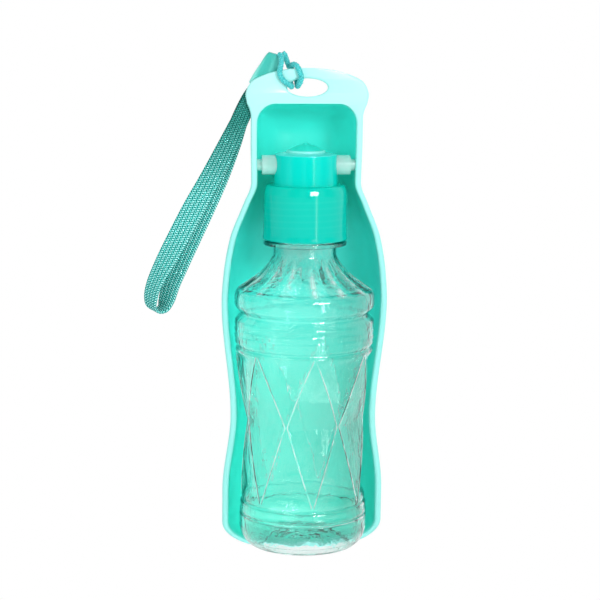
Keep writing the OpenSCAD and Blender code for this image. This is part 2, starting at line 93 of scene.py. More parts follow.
def skinned(name, rings):
    """A closed mesh object through rings of points, each ring with the same count."""
    n = len(rings[0])
    points = [tuple(p) for ring in rings for p in ring]
    faces = [(i * n + j, i * n + (j + 1) % n, (i + 1) * n + (j + 1) % n, (i + 1) * n + j)
             for i in range(len(rings) - 1) for j in range(n)]
    faces.append(tuple(range(n - 1, -1, -1)))
    faces.append(tuple((len(rings) - 1) * n + j for j in range(n)))
    mesh = bpy.data.meshes.new(name)
    mesh.from_pydata(points, [], faces)
    face_outwards(mesh)
    mesh.shade_smooth()
    piece = bpy.data.objects.new(name, mesh)
    bpy.context.scene.collection.objects.link(piece)
    return piece


def finish_of(name, constants):
    """A new node material, its tree, and its shader with these sockets set."""
    finish = bpy.data.materials.new(name)
    finish.use_nodes = True
    shader = finish.node_tree.nodes["Principled BSDF"]
    for socket, value in constants.items():
        shader.inputs[socket].default_value = value
    return finish, finish.node_tree, shader


def add_node(tree, kind, **sockets):
    node = tree.nodes.new(kind)
    for socket, value in sockets.items():
        node.inputs[socket].default_value = value
    return node


def placed_node(tree, kind, **sockets):
    """A node that reads the place on the piece, so that its pattern moves with the piece."""
    node = add_node(tree, kind, **sockets)
    tree.links.new(add_node(tree, "ShaderNodeTexCoord").outputs["Object"], node.inputs[0])
    return node


def math_node(tree, operation, a, b=None, clamp=False):
    node = tree.nodes.new("ShaderNodeMath")
    node.operation = operation
    node.use_clamp = clamp
    for socket, value in zip(node.inputs, (a, b)):
        if value is None:
            continue
        if isinstance(value, (int, float)):
            socket.default_value = value
        else:
            tree.links.new(value, socket)
    return node.outputs[0]


def ramp_node(tree, factor, stops, interpolation="EASE"):
    """A colour that runs through (place, (r, g, b)) stops as the factor grows."""
    node = tree.nodes.new("ShaderNodeValToRGB")
    node.color_ramp.interpolation = interpolation
    while len(node.color_ramp.elements) < len(stops):
        node.color_ramp.elements.new(0.5)
    for element, (place, colour) in zip(node.color_ramp.elements, stops):
        element.position = place
        element.color = (*colour, 1)
    tree.links.new(factor, node.inputs[0])
    return node.outputs[0]


def relief(tree, shader, height, distance, strength):
    """Fine relief, of this depth in metres where the height runs from 0 to 1."""
    bump = add_node(tree, "ShaderNodeBump", Strength=strength, Distance=distance)
    tree.links.new(height, bump.inputs["Height"])
    tree.links.new(bump.outputs[0], shader.inputs["Normal"])


cord_line = flowing(cord_route, 14)
cord_across = 2.9 * MM
lay_pitch = 5.4 * MM


def run_at(line, i):
    """Which way a line runs at one of its rows."""
    return (Vector(line[min(i + 1, len(line) - 1)][:3]) - Vector(line[max(i - 1, 0)][:3])).normalized()


def laid_rope(name, line, across, pitch):
    """A tube round the line whose section is three strands that turn once in each pitch."""
    sides = 36
    rings, side, walked = [], None, 0.0
    for i, p in enumerate(line):
        here = Vector(p)
        ahead = run_at(line, i)
        side = ahead.orthogonal().normalized() if side is None else (
            side - ahead * side.dot(ahead)).normalized()
        other = ahead.cross(side)
        if i:
            walked += (here - Vector(line[i - 1])).length
        turn = 2 * math.pi * walked / pitch
        ring = []
        for k in range(sides):
            a = 2 * math.pi * k / sides
            lobe = abs(math.cos(1.5 * (a - turn))) ** 0.7
            r = across / 2 * (0.78 + 0.22 * lobe)
            ring.append(here + side * r * math.cos(a) + other * r * math.sin(a))
        rings.append(ring)
    return skinned(name, rings)


twisted_cord = laid_rope("twisted_cord", cord_line, cord_across, lay_pitch)
cord_finish, tree, shader = finish_of("laid_polyester", {
    "Roughness": 0.62, "Sheen Weight": 0.35, "Sheen Roughness": 0.4})
fibres = placed_node(tree, "ShaderNodeTexNoise", Scale=2600.0, Detail=3.0).outputs["Fac"]
tree.links.new(ramp_node(tree, fibres, [(0.3, (0.01, 0.30, 0.32)), (0.52, (0.04, 0.60, 0.61)),
                                        (0.72, (0.30, 0.92, 0.90))]), shader.inputs["Base Color"])
relief(tree, shader, fibres, 0.0002, 0.6)
twisted_cord.data.materials.append(cord_finish)
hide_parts("strap_cord")
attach(twisted_cord, "trough")

# ---- Strap webbing --------------------------------------------------------
# Flat braid of polyester, 10.5 mm wide and 1.5 mm thick, doubled into a wrist loop.
# Two tones of yarn cross in slanting stitches; the loop turns over at its lower end.
# Each row of the route is a place, half the width there, and the twist in degrees.
web_route = [
    (-24.2, -4.0, 243.3, 4.0, 0), (-28.6, -3.9, 235.6, 4.0, 0), (-34.0, -4.6, 225.0, 4.5, 0),
    (-40.0, -5.4, 213.0, 5.0, 0), (-49.0, -6.2, 196.0, 5.3, 4), (-57.5, -7.0, 181.0, 5.5, 8),
    (-66.5, -7.6, 164.0, 5.5, 20), (-73.4, -7.8, 151.0, 5.5, 38), (-77.6, -7.6, 142.0, 5.5, 50),
    (-79.2, -6.8, 135.0, 5.5, 56), (-78.8, -5.8, 130.8, 5.5, 68), (-75.8, -5.0, 128.4, 5.5, 90),
    (-72.6, -4.2, 129.8, 5.5, 114), (-70.9, -3.4, 134.0, 5.5, 134), (-68.6, -2.8, 142.0, 5.5, 144),
    (-64.9, -2.2, 151.0, 5.5, 152), (-59.2, -2.0, 164.0, 5.5, 164), (-51.4, -2.0, 181.0, 5.5, 174),
    (-44.6, -2.0, 196.0, 5.3, 178), (-38.0, -1.6, 213.0, 5.0, 180), (-33.8, -1.0, 225.0, 4.5, 180),
    (-29.2, -1.6, 235.6, 4.0, 180), (-24.0, -2.1, 243.1, 4.0, 180)]
web_line = flowing(web_route, 36)
web_thickness = 1.5 * MM
stitch_columns, stitch_pitch = 10, 1.35 * MM
painted_shade_from, painted_shade_over = 0.185, 0.04


def braided_web(name, line):
    """A flat band along the line with a raised column for each stitch, and its map in its UV layer."""
    columns = 66
    rings, places, walked = [], [], 0.0
    for i, row in enumerate(line):
        here = Vector(row[:3])
        ahead = run_at(line, i)
        flat = ahead.cross(Vector((0, 1, 0))).normalized()
        deep = ahead.cross(flat)
        twist = math.radians(row[4] / MM)
        across = flat * math.cos(twist) + deep * math.sin(twist)
        through = ahead.cross(across)
        if i:
            walked += (here - Vector(line[i - 1][:3])).length
        ring = []
        for face in (1, -1):
            for k in range(columns + 1):
                u = face * (1 - 2 * k / columns)
                column = (u + 1) / 2 * stitch_columns
                groove = math.sin(math.pi * (column % 1)) ** 0.5 if column % 1 else 0
                edge = (1 - abs(u) ** 6) ** 0.5
                lift = web_thickness / 2 * (0.72 + 0.28 * groove) * (0.35 + 0.65 * edge)
                ring.append(here + across * row[3] * u * 0.985 + through * face * lift)
                places.append(((u + 1) / 2, walked))
        rings.append(ring)
    band = skinned(name, rings)
    layer = band.data.uv_layers.new(name="braid")
    for loop in band.data.loops:
        layer.data[loop.index].uv = places[loop.vertex_index]
    return band


wrist_webbing = braided_web("wrist_webbing", web_line)
web_finish, tree, shader = finish_of("braided_polyester", {"Roughness": 0.6, "Specular IOR Level": 0.2})
layer = add_node(tree, "ShaderNodeUVMap")
layer.uv_map = "braid"
parts = add_node(tree, "ShaderNodeSeparateXYZ")
tree.links.new(layer.outputs[0], parts.inputs[0])
column = math_node(tree, "MULTIPLY", parts.outputs[0], stitch_columns)
in_column = math_node(tree, "FRACT", column)
odd = math_node(tree, "MODULO", math_node(tree, "FLOOR", column), 2.0)
slant = math_node(tree, "SUBTRACT", odd, 0.5)
along = math_node(tree, "DIVIDE", parts.outputs[1], stitch_pitch)
phase = math_node(tree, "ADD", along, math_node(tree, "MULTIPLY", slant, in_column))
stitch = math_node(tree, "ABSOLUTE", math_node(
    tree, "SINE", math_node(tree, "MULTIPLY", phase, math.pi)))
tone = math_node(tree, "MULTIPLY", stitch, math_node(
    tree, "ADD", math_node(tree, "MULTIPLY", odd, 0.25), 0.75))
yarns = ramp_node(tree, tone, [(0.30, (0.0, 0.19, 0.165)), (0.58, (0.0, 0.33, 0.29)),
                               (0.74, (0.20, 0.92, 0.86)), (0.95, (0.50, 1.0, 0.97))])


def share_from(tree, value, start, over):
    """A share that grows from 0 at the start to 1 when the value has risen by this much."""
    return math_node(tree, "DIVIDE", math_node(tree, "SUBTRACT", value, start), over, clamp=True)


def mixed(tree, share, first, second, blend="MIX"):
    """A colour into which a plain second colour is mixed by a share from 0 to 1."""
    node = tree.nodes.new("ShaderNodeMix")
    node.data_type = "RGBA"
    node.blend_type = blend
    tree.links.new(share, node.inputs[0])
    tree.links.new(first, node.inputs[6])
    node.inputs[7].default_value = (*second, 1)
    return node.outputs[2]


# The webbing is darkened with height towards the sleeve: painted shade.
height = placed_node(tree, "ShaderNodeSeparateXYZ").outputs[2]
painted_shading_share = math_node(tree, "MULTIPLY", share_from(tree, height, painted_shade_from, painted_shade_over), 0.9)
tree.links.new(mixed(tree, painted_shading_share, yarns, (0.06, 0.34, 0.30), "MULTIPLY"), shader.inputs["Base Color"])
relief(tree, shader, stitch, 0.0004, 0.6)
wrist_webbing.data.materials.append(web_finish)
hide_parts("strap_webbing")
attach(wrist_webbing, "trough")

# ---- Strap sleeve ---------------------------------------------------------
# Satin ribbon folded over the ends of the webbing and stitched to the cord,
# a soft flat tab that narrows towards the cord.
sleeve_route = [(-25.0, -3.2, 242.0, 4.9), (-23.8, -3.3, 244.2, 5.0), (-21.8, -3.4, 247.2, 5.2),
                (-19.6, -3.6, 251.0, 4.9), (-18.3, -3.8, 254.2, 4.4), (-17.4, -4.0, 257.0, 3.6),
                (-16.9, -4.2, 258.8, 2.6)]
sleeve_line = flowing(sleeve_route, 10)
sleeve_half, shade_x, shade_z = 1.75, -0.0205, 0.250
rings = []
for i, row in enumerate(sleeve_line):
    here = Vector(row[:3])
    ahead = run_at(sleeve_line, i)
    flat = ahead.cross(Vector((0, 1, 0))).normalized()
    deep = ahead.cross(flat)
    share = i / (len(sleeve_line) - 1)
    ring = []
    for k in range(48):
        a = 2 * math.pi * k / 48
        fold = 1 + 0.05 * math.sin(3 * a + 5 * share) + 0.04 * math.sin(7 * a - 4 * share)
        ring.append(here + flat * row[3] * math.copysign(abs(math.cos(a)) ** 0.8, math.cos(a))
                    + deep * sleeve_half * MM * fold
                    * math.copysign(abs(math.sin(a)) ** 0.75, math.sin(a)))
    rings.append(ring)
satin_sleeve = skinned("satin_sleeve", rings)
sleeve_finish, tree, shader = finish_of("satin_ribbon", {
    "Roughness": 0.38, "Anisotropic": 0.5, "Sheen Weight": 0.25})
# The tab is painted pale at its upper left and deep teal towards its lower right: painted highlight and
# shade, broken a little by the weave.
spot = placed_node(tree, "ShaderNodeSeparateXYZ").outputs
painted_light_across = math_node(
    tree, "SUBTRACT", math_node(tree, "MULTIPLY", math_node(tree, "SUBTRACT", spot[0], shade_x), 90.0),
    math_node(tree, "MULTIPLY", math_node(tree, "SUBTRACT", spot[2], shade_z), 43.0))
weave = placed_node(tree, "ShaderNodeTexWave", Scale=900.0, Distortion=1.5, Detail=2.0)
weave.bands_direction = "DIAGONAL"
painted_sheen = math_node(tree, "ADD", math_node(tree, "ADD", painted_light_across, 0.82),
                  math_node(tree, "MULTIPLY", weave.outputs["Fac"], 0.08), clamp=True)
tree.links.new(ramp_node(tree, painted_sheen, [
    (0.0, (0.40, 0.90, 0.84)), (0.30, (0.30, 0.84, 0.77)), (0.58, (0.03, 0.52, 0.44)),
    (0.85, (0.02, 0.47, 0.40)), (1.0, (0.10, 0.62, 0.55))]), shader.inputs["Base Color"])
relief(tree, shader, weave.outputs["Fac"], 0.00008, 0.4)
satin_sleeve.data.materials.append(sleeve_finish)
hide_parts("strap_sleeve")
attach(satin_sleeve, "trough")

# ---- Trough ---------------------------------------------------------------
# One injection moulding in translucent plastic: two-millimetre walls round the bottle,
# a rounded bead along the rim, and a flat head with an oval hole for the strap.
axis_y = -2.0
foot_z, cap_bottom_z, cap_top_z, pivot_z = 4.0, 164.7, 192.6, 202.6
cavity_top, shell_top, head_top = 233.9, 235.9, 251.7
rim_w, rim_depth, rim_lip = 3.1, 3.4, 1.1
rim_rise, rim_lean = 3, 10
bead_half, bead_deep, lip_deep = 1.55, 1.45, 1.2
under_half, under_start, under_deep = 0.9, 1.2, 1.1
back_wall, end_wall, corner_h, pad_half = 2, 1.5, 14.5, 13.0
top_round, roof_slope, roof_front, head_edge = 10, 18, 4, 1.3
# Stations are (height, half width or depth) in millimetres.
rim_stations = [(0, 42.0), (32, 42.0), (72, 37.9), (132.3, 42.8), (146.3, 41.9), (164.7, 38.82),
                (182.6, 32.05), (193.6, 28.05), (214.6, 28.45), (227.9, 28.45), (251.7, 28.45)]
back_stations = [(0, 40.1), (142.5, 40.1), (188.6, 30.15), (251.7, 30.15)]
head_stations = [(220.9, 28.45), (227.4, 28.45), (230.9, 29.2), (234.1, 30.5), (238.3, 31.2),
                 (241.5, 30.4), (245.1, 28.0), (247.9, 22.9), (250.0, 16.4), (251.3, 9.0), (251.7, 3.7)]


def through(stations, z):
    """A smooth curve through (place, value) stations, level at the ends and never overshooting."""
    i = 0
    while i < len(stations) - 2 and z >= stations[i + 1][0]:
        i += 1

    def pitch(k):
        return (stations[k + 1][1] - stations[k][1]) / (stations[k + 1][0] - stations[k][0])

    def rise(k):
        if k == 0 or k == len(stations) - 1 or pitch(k - 1) * pitch(k) <= 0:
            return 0
        return 2 * pitch(k - 1) * pitch(k) / (pitch(k - 1) + pitch(k))

    h = stations[i + 1][0] - stations[i][0]
    t = min(1, max(0, (z - stations[i][0]) / h))
    return ((2 * t ** 3 - 3 * t ** 2 + 1) * stations[i][1] + (t ** 3 - 2 * t ** 2 + t) * h * rise(i)
            + (3 * t ** 2 - 2 * t ** 3) * stations[i + 1][1] + (t ** 3 - t ** 2) * h * rise(i + 1))


def quarter(t):
    """Height of a quarter circle, from 0 at its start to 1 at its end."""
    return math.sqrt(max(0, 1 - (1 - min(1, max(0, t))) ** 2))


def rim_y(z):
    """Front of the rim, which leans forward towards the head."""
    return rim_rise - rim_lean * z / head_top


def form_half(z, low, high, inset):
    """Half the width between a low and a high end wall, whose corners are round."""
    w = through(rim_stations, z) - inset
    if z < corner_h:
        return pad_half + (w - pad_half) * quarter((z - low) / (corner_h - low))
    return w - top_round + top_round * quarter((high - z) / top_round) if z > high - top_round else w


def form_back(z, low, high, inset):
    """Depth of the back between the two end walls; it slopes up to the front below the head."""
    b = through(back_stations, z) - inset
    if z < corner_h:
        return b - top_round + top_round * quarter((z - low) / (corner_h - low))
    if z > high - roof_slope:
        return b - (b - roof_front) * (1 - quarter((high - z) / roof_slope))
    return b


def edge_half(z):
    return form_half(z, 0, shell_top, 0) if z < head_stations[0][0] else through(head_stations, z)


def bow(w, y0, y1):
    """Half of a rounded-square curve from the side at y0 to the middle at y1."""
    steps, bend = 22, 2 / 2.8
    angles = [math.pi / 2 * i / steps for i in range(steps + 1)]
    return [(w * math.cos(a) ** bend if a < math.pi / 2 else 0.0,
             y0 + (y1 - y0) * math.sin(a) ** bend) for a in angles]


def both_sides(half):
    return half + [(-x, y) for x, y in reversed(half[:-1])]


def section(z, edge, wall, back, inner, inner_back):
    """One ring of the moulding: round the outside from right to left, then back along the inside."""
    y0 = rim_y(z)
    y1 = y0 + rim_depth
    crown = min(bead_half, (edge - inner) / 2)
    bead = [(edge - crown + crown * math.sin(a), y0 + bead_deep * (1 - math.cos(a)))
            for a in (math.pi / 2 * i / 7 for i in range(8))]
    under = [(edge - under_half * (1 - math.cos(a)), y1 - under_start + under_deep * math.sin(a))
             for a in (math.pi / 2 * i / 4 for i in range(5))]
    outside = both_sides(bead + under + bow(wall, y1, back or y1))
    lip = 1 if inner_back else 0
    inner_bead = [(inner + crown * (1 - math.sin(a)), y0 + lip_deep * lip * (1 - math.cos(a)))
                  for a in (math.pi / 2 * i / 6 for i in range(1, 6))]
    inside = both_sides(inner_bead + bow(inner, y0 + lip_deep * lip, inner_back or y0))
    return [(x * MM, (y + axis_y) * MM, z * MM) for x, y in outside + inside[::-1]]


def shell_section(z, is_open):
    y1 = rim_y(z) + rim_depth
    wall = form_half(z, 0, shell_top, 0) - rim_lip
    back = max(y1 + 2, form_back(z, 0, shell_top, 0))
    if is_open:
        return section(z, edge_half(z), wall, back, form_half(z, end_wall, cavity_top, rim_w),
                       max(y1, form_back(z, end_wall, cavity_top, back_wall)))
    inner = form_half(cavity_top if z > corner_h else end_wall, end_wall, cavity_top, rim_w)
    return section(z, edge_half(z), wall, back, inner if z > 0.7 else pad_half * 0.6, 0)


def head_section(z):
    return section(z, edge_half(z), edge_half(z) - head_edge, 0, edge_half(z) * 0.25, 0)


low_heights = [end_wall + (corner_h - end_wall) * (1 - math.cos(math.radians(a)))
               for a in range(0, 90, 6)]
mid_heights = [corner_h + (cavity_top - roof_slope - corner_h) * i / 90 for i in range(91)]
top_heights = [cavity_top - roof_slope * (1 - math.cos(math.radians(a))) for a in range(84, -1, -6)]
head_heights = [shell_top + 0.05 + (head_top - shell_top - 0.05) * math.sin(math.pi / 2 * i / 30)
                for i in range(31)]
shell_rings = ([shell_section(z, False) for z in (0, 0.45, 1.45)]
               + [shell_section(z, True) for z in low_heights + mid_heights + top_heights]
               + [shell_section(z, False) for z in (cavity_top + 0.05, shell_top)]
               + [head_section(z) for z in head_heights])
drinking_trough = skinned("drinking_trough", shell_rings)


def cut_away(piece, tool):
    """Cuts a closed form out of a piece. The form itself is taken away after."""
    change = piece.modifiers.new("cut", "BOOLEAN")
    change.operation = "DIFFERENCE"
    change.solver = "EXACT"
    change.object = tool
    bpy.context.view_layer.objects.active = piece
    with bpy.context.temp_override(object=piece, active_object=piece):
        bpy.ops.object.modifier_apply(modifier=change.name)
    spent = tool.data
    bpy.data.objects.remove(tool)
    bpy.data.meshes.remove(spent)


def oval(z, half_w, half_h, y):
    angles = [2 * math.pi * k / 96 for k in range(96)]
    return [(half_w * math.cos(a) * MM, y * MM, (z + half_h * math.sin(a)) * MM) for a in angles]


hole_z, hole_half_w, hole_half_h = head_top - 9.75, 10.3, 4.55
front_y, back_y = rim_y(hole_z) + axis_y, rim_y(hole_z) + rim_depth + axis_y
hole_edge = [(3, 1.4), (0.25, 1.4), (-0.1, 0.75), (-0.4, 0.4), (-0.8, 0.12), (-1.3, 0)]
hole_steps = ([(front_y - out, wider) for out, wider in hole_edge]
              + [(back_y + out, wider) for out, wider in reversed(hole_edge)])
cut_away(drinking_trough, skinned("hole_cutter", [
    oval(hole_z, hole_half_w + wider, hole_half_h + wider, y) for y, wider in hole_steps]))
stub_r, stub_flat = 3.0, 2.1


def keyed_ring(x, r, flat):
    """Section of a spindle stub: round, with a flat on top that keeps it from turning."""
    ring = []
    for k in range(64):
        a = 2 * math.pi * k / 64
        ring.append((x * MM, (axis_y + r * math.cos(a)) * MM,
                     (pivot_z + min(flat, r * math.sin(a))) * MM))
    return ring


for reach in ((-34, -20), (20, 34)):
    cut_away(drinking_trough, skinned("bore_cutter", [keyed_ring(x, stub_r, stub_flat) for x in reach]))

cavity_depth, painted_light_head_from, painted_light_head_over, painted_light_cavity_from, painted_light_cavity_over = 0.040, 0.165, 0.075, 0.08, 0.09
trough_finish, tree, shader = finish_of("mint_moulded_plastic", {
    "Roughness": 0.3, "Specular IOR Level": 0.5})
spot = placed_node(tree, "ShaderNodeSeparateXYZ").outputs
rim_plane = math_node(tree, "ADD", math_node(tree, "MULTIPLY", spot[2], -rim_lean / head_top),
                      (rim_rise + axis_y) * MM)
depth = share_from(tree, spot[1], rim_plane, cavity_depth)
grain = placed_node(tree, "ShaderNodeTexNoise", Scale=60.0, Detail=2.0).outputs["Fac"]
uneven = math_node(tree, "ADD", depth, math_node(
    tree, "MULTIPLY", math_node(tree, "SUBTRACT", grain, 0.5), 0.02), clamp=True)
inside = ramp_node(tree, uneven, [(0.0, (0.34, 0.92, 0.86)), (0.05, (0.26, 0.89, 0.82)),
                                  (0.14, (0.045, 0.74, 0.60)), (1.0, (0.04, 0.77, 0.62))], "LINEAR")
# The head and the rim beside it are painted paler, and the upper cavity is painted paler towards the
# top: painted light.
painted_light_head_share = share_from(tree, spot[2], painted_light_head_from, painted_light_head_over)
edge_share = math_node(tree, "SUBTRACT", 1.0, share_from(tree, depth, 0.05, 0.09), clamp=True)
with_painted_head_light = mixed(tree, math_node(tree, "MULTIPLY", painted_light_head_share, edge_share), inside, (0.46, 0.99, 0.95))
painted_shading_share = math_node(tree, "MULTIPLY", share_from(tree, spot[2], painted_light_cavity_from, painted_light_cavity_over),
                  math_node(tree, "SUBTRACT", 1.0, edge_share))
tree.links.new(mixed(tree, painted_shading_share, with_painted_head_light, (0.07, 0.98, 0.87)), shader.inputs["Base Color"])
fine = placed_node(tree, "ShaderNodeTexNoise", Scale=900.0, Detail=1.0).outputs["Fac"]
relief(tree, shader, fine, 0.00003, 0.15)
drinking_trough.data.materials.append(trough_finish)
drinking_trough.data.set_sharp_from_angle(angle=math.radians(38))
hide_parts("trough")
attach(drinking_trough, "trough")

# ---- Bottle ---------------------------------------------------------------
# Stretch-blown clear bottle with a wall of under a millimetre: a pushed-up base, fine rings,
# seven tall facets that cross at the waist, two round bands and a fluted trumpet shoulder.
ROUND, FACET, FLUTE = range(3)
panels, flutes = 7, 14
sector = 360 / panels
base_r, band_r, waist_r, foot_r = 33.1, 36.1, 30.6, 24.5
base_h, waist_h, facet_top, band_top, shoulder_top = 27.0, 68.0, 103.2, 134.3, 152.5
support_h, bottle_h, neck_r, mouth_r = 156.9, 184.8, 17.4, 15.4
wall, flute_depth, first_turn = 0.85, 2.3, -87
thread_pitch, thread_turns, thread_h, thread_half_w = 3.18, 4.2, 1.35, 1.15
facet_low_r, facet_high_r = base_r - 0.9, band_r - 0.7
scoop_low, scoop_high, crease_soft, crease_deep = 5.0, 3.5, 0.9, 0.22
# A row is (height, radius, kind, detail). The detail is the angle of the creases on facets
# and the depth between the crests on flutes.


def crease_at(h):
    """Distance from the waist as a share, and the angle of the creases, which cross at the waist."""
    if h < waist_h:
        s = (waist_h - h) / (waist_h - base_h)
    else:
        s = (h - waist_h) / (facet_top - waist_h)
    return s, sector / 2 * (0.96 - 0.92 * s)


def facet_row(h):
    s, crease = crease_at(h)
    return h, waist_r + ((facet_low_r if h < waist_h else facet_high_r) - waist_r) * s, FACET, crease


def eased(rows, steps):
    """Extra rows between plain rows, so that the rings read as moulded curves."""
    out = []
    for i, row in enumerate(rows[:-1]):
        a, b, c, d = (rows[min(max(k, 0), len(rows) - 1)] for k in (i - 1, i, i + 1, i + 2))
        for s in range(steps):
            t = s / steps
            h, r = (0.5 * (2 * b[k] + (c[k] - a[k]) * t
                           + (2 * a[k] - 5 * b[k] + 4 * c[k] - d[k]) * t ** 2
                           + (3 * b[k] - a[k] - 3 * c[k] + d[k]) * t ** 3) for k in (0, 1))
            out.append((h, r, b[2], b[3] + (c[3] - b[3]) * t))
    return out + [rows[-1]]


def ridged(rows, low, high, pitch, depth):
    """The rows with fine moulded ridges of this pitch between two heights."""
    out = []
    for a, b in zip(rows, rows[1:] + rows[-1:]):
        steps = max(1, math.ceil((b[0] - a[0]) / 0.35)) if low < b[0] and a[0] < high else 1
        for s in range(steps):
            h, r = (a[k] + (b[k] - a[k]) * s / steps for k in (0, 1))
            ends = min(1, max(0, min(h - low, high - h) / 0.8))
            wave = (1 - math.cos(2 * math.pi * (h - low) / pitch)) / 2
            out.append((h, r - depth * ends * wave, a[2], a[3]))
    return out


def round_rows(rows):
    return [(h, r, ROUND, 0) for h, r in rows]


groove = facet_top + 19.5
low_body = eased(round_rows([
    (0, foot_r), (0.4, foot_r + 2.2), (1.1, foot_r + 3.8), (1.7, foot_r + 4.1), (2.4, foot_r + 5.4)]
    + [(h, base_r - down) for h, down in (
        (3.8, 2.1), (4.6, 1.9), (5.4, 1.1), (9.4, 0), (13.0, 0), (16.4, 0), (17.0, 0.55), (17.5, 0.9),
        (18.0, 0.5), (18.6, 0.1), (20.8, 0.2), (23.0, 0.4), (23.7, 1.0), (24.3, 1.5), (25.2, 1.0),
        (26.2, 0.9))]), 3)
low_body = ridged(ridged(low_body, 10.2, 16.4, 3.1, 0.1), 18.8, 22.8, 4.0, 0.16)
facets = [facet_row(base_h + (waist_h - base_h) * i / 22) for i in range(22)] + [
    facet_row(waist_h + (facet_top - waist_h) * i / 20) for i in range(21)]
high_body = eased(round_rows(
    [(facet_top + up, band_r - down) for up, down in (
        (0.6, 0.55), (1.2, 0.8), (1.8, 1.3), (2.4, 1.5), (3.0, 1.3), (3.6, 0.9), (5.0, 0.25),
        (7.0, 0.05))]
    + [(groove + up, band_r - down) for up, down in (
        (-7.5, 0.05), (-4.6, 0.15), (-3.4, 0.45), (-2.0, 1.6), (-0.8, 2.6), (0, 2.8), (0.9, 2.5),
        (2.2, 1.3), (3.6, 0.3), (5.0, 0))]
    + [(band_top - under, band_r - down) for under, down in ((3.4, 0), (1.8, 0.15), (0.6, 0.6))]), 3)
high_body = ridged(high_body, facet_top + 4.4, facet_top + 15.2, 3.4, 0.24)
rise_h, drop_r = shoulder_top - band_top, band_r - 16.2
shoulder = eased([(band_top + rise_h * a, band_r - drop_r * b, FLUTE, flute_depth * c) for a, b, c in (
    (0.0, 0.05, 0.0), (0.03, 0.07, 0.35), (0.07, 0.12, 0.95), (0.12, 0.18, 1.15), (0.2, 0.29, 1.2),
    (0.3, 0.42, 1.15), (0.41, 0.56, 1), (0.53, 0.68, 0.8), (0.66, 0.79, 0.6), (0.82, 0.91, 0.3),
    (1.0, 1.0, 0))], 6)
neck = eased(round_rows([(shoulder_top + 0.8, 16.1)] + [(support_h + up, r) for up, r in (
    (-0.2, 16.2), (0.6, 16.8), (1.0, 20.9), (1.4, 21.3), (2.5, 21.3), (3.0, 20.9), (3.3, neck_r),
    (4.5, neck_r))]), 2)


def sector_angles(crease):
    """Angles in one sector, close together beside the two creases, where the edges are rounded."""
    edge = sector / 2
    crease = min(max(crease, 1.2), edge - 1.2)
    soft = min(0.9, crease * 0.45, (edge - crease) * 0.45)
    half = ([(crease - soft) * k / 7 for k in range(7)]
            + [crease - soft, crease - soft * 0.4, crease, crease + soft * 0.4, crease + soft]
            + [crease + soft + (edge - crease - soft) * k / 7 for k in range(1, 7)])
    return [-a for a in reversed(half[1:])] + half + [edge]


def column_crease(row):
    """Where a ring's columns gather: at the creases of the facets, and evenly away from them."""
    end = sector / 2 * 0.04
    if row[2] == FACET:
        return row[3]
    away = base_h - row[0] if row[0] < waist_h else row[0] - facet_top
    return end + (sector / 4 - end) * min(1, max(0, away / 8))


def dent(row, a):
    """How far facets and flutes go in from the round body at one angle of a sector."""
    h, r, kind, value = row
    if kind == FACET:
        edge = sector / 2
        inner = abs(a) <= value
        half, off = (value, abs(a)) if inner else (edge - value, edge - abs(a))
        flat = r * 0.8 * (1 - math.cos(math.radians(half)) / math.cos(math.radians(off)))
        scoop = min(1, max(0, min((h - base_h) / scoop_low, (facet_top - h) / scoop_high)))
        flat *= scoop ** 2 * (3 - 2 * scoop)
        near = max(0, 1 - abs(abs(a) - value) / crease_soft)
        return flat - crease_deep * near ** 2
    if kind == FLUTE:
        wave = abs(math.cos(math.radians(a * flutes / 2)))
        return value * (1 - wave ** 1.2)
    return 0


def body_point(r, turn, h):
    t = math.radians(turn)
    return r * math.cos(t) * MM, (r * math.sin(t) + axis_y) * MM, (h + foot_z) * MM


def bottle_ring(row, inset=0.0, share=1.0):
    return [body_point(row[1] - inset - dent(row, a) * share, k * sector + a + first_turn, row[0])
            for k in range(panels) for a in sector_angles(column_crease(row))]


def round_ring(h, r):
    return bottle_ring((h, r, ROUND, 0))


def wall_ring(row):
    """Inner face of a ring. The wall is thicker at the crests of the flutes and bends light there."""
    thick = min(1, row[3] / flute_depth) if row[2] == FLUTE else 0
    return bottle_ring(row, wall + thick, 0.8 - 0.3 * thick)


def push_ring(h, r, sides):
    """Pushed-up base: its foot is round and its top has flat sides."""
    ring = []
    for k in range(panels):
        for a in sector_angles(sector / 4):
            flat = math.cos(math.radians(sector / 2)) / math.cos(math.radians(a))
            ring.append(body_point(r * (1 - sides + sides * flat), k * sector + a + first_turn, h))
    return ring


under_base = [push_ring(*sizes) for sizes in (
    (7.2, 0.4, 0), (7.2, 5, 0.5), (7.0, 10, 0.8), (6.6, 14, 1), (6.0, 16.2, 1), (4.6, 18.2, 1),
    (2.4, 20.4, 1), (1.2, 21.7, 0.7), (0.4, 22.9, 0.3), (0.1, 23.8, 0))]
body_rows = low_body + facets + high_body + shoulder + neck
outer = under_base + [bottle_ring(row) for row in body_rows]
inner = ([round_ring(bottle_h, mouth_r + 0.3), round_ring(bottle_h - 0.4, mouth_r),
          round_ring(support_h + 4.5, mouth_r), round_ring(support_h, mouth_r),
          round_ring(shoulder_top + 1.5, 15.3)]
         + [wall_ring(row) for row in reversed(low_body[6:] + facets + high_body + shoulder)]
         + [push_ring(*sizes) for sizes in (
             (1.4, 25.4, 0), (1.0, 24.2, 0), (1.2, 23.4, 0.2), (2.2, 21.6, 0.7), (3.4, 20.4, 1),
             (5.4, 18.4, 1), (7.0, 16.2, 1), (7.8, 13.8, 1), (8.2, 10, 0.8), (8.4, 5, 0.5),
             (8.4, 0.4, 0))])


def thread_profile(h, a, start):
    """Height of the screw thread above the neck at one place, with a rounded crest and soft ends."""
    best = 0.0
    for k in range(int(thread_turns) + 2):
        ahead = a / 360 + k
        if not 0 <= ahead <= thread_turns:
            continue
        off = abs(h - (start + thread_pitch * ahead)) / thread_half_w
        if off < 1:
            ends = min(1, ahead * 8, (thread_turns - ahead) * 8)
            best = max(best, thread_h * ends * (1 - off ** 2))
    return best


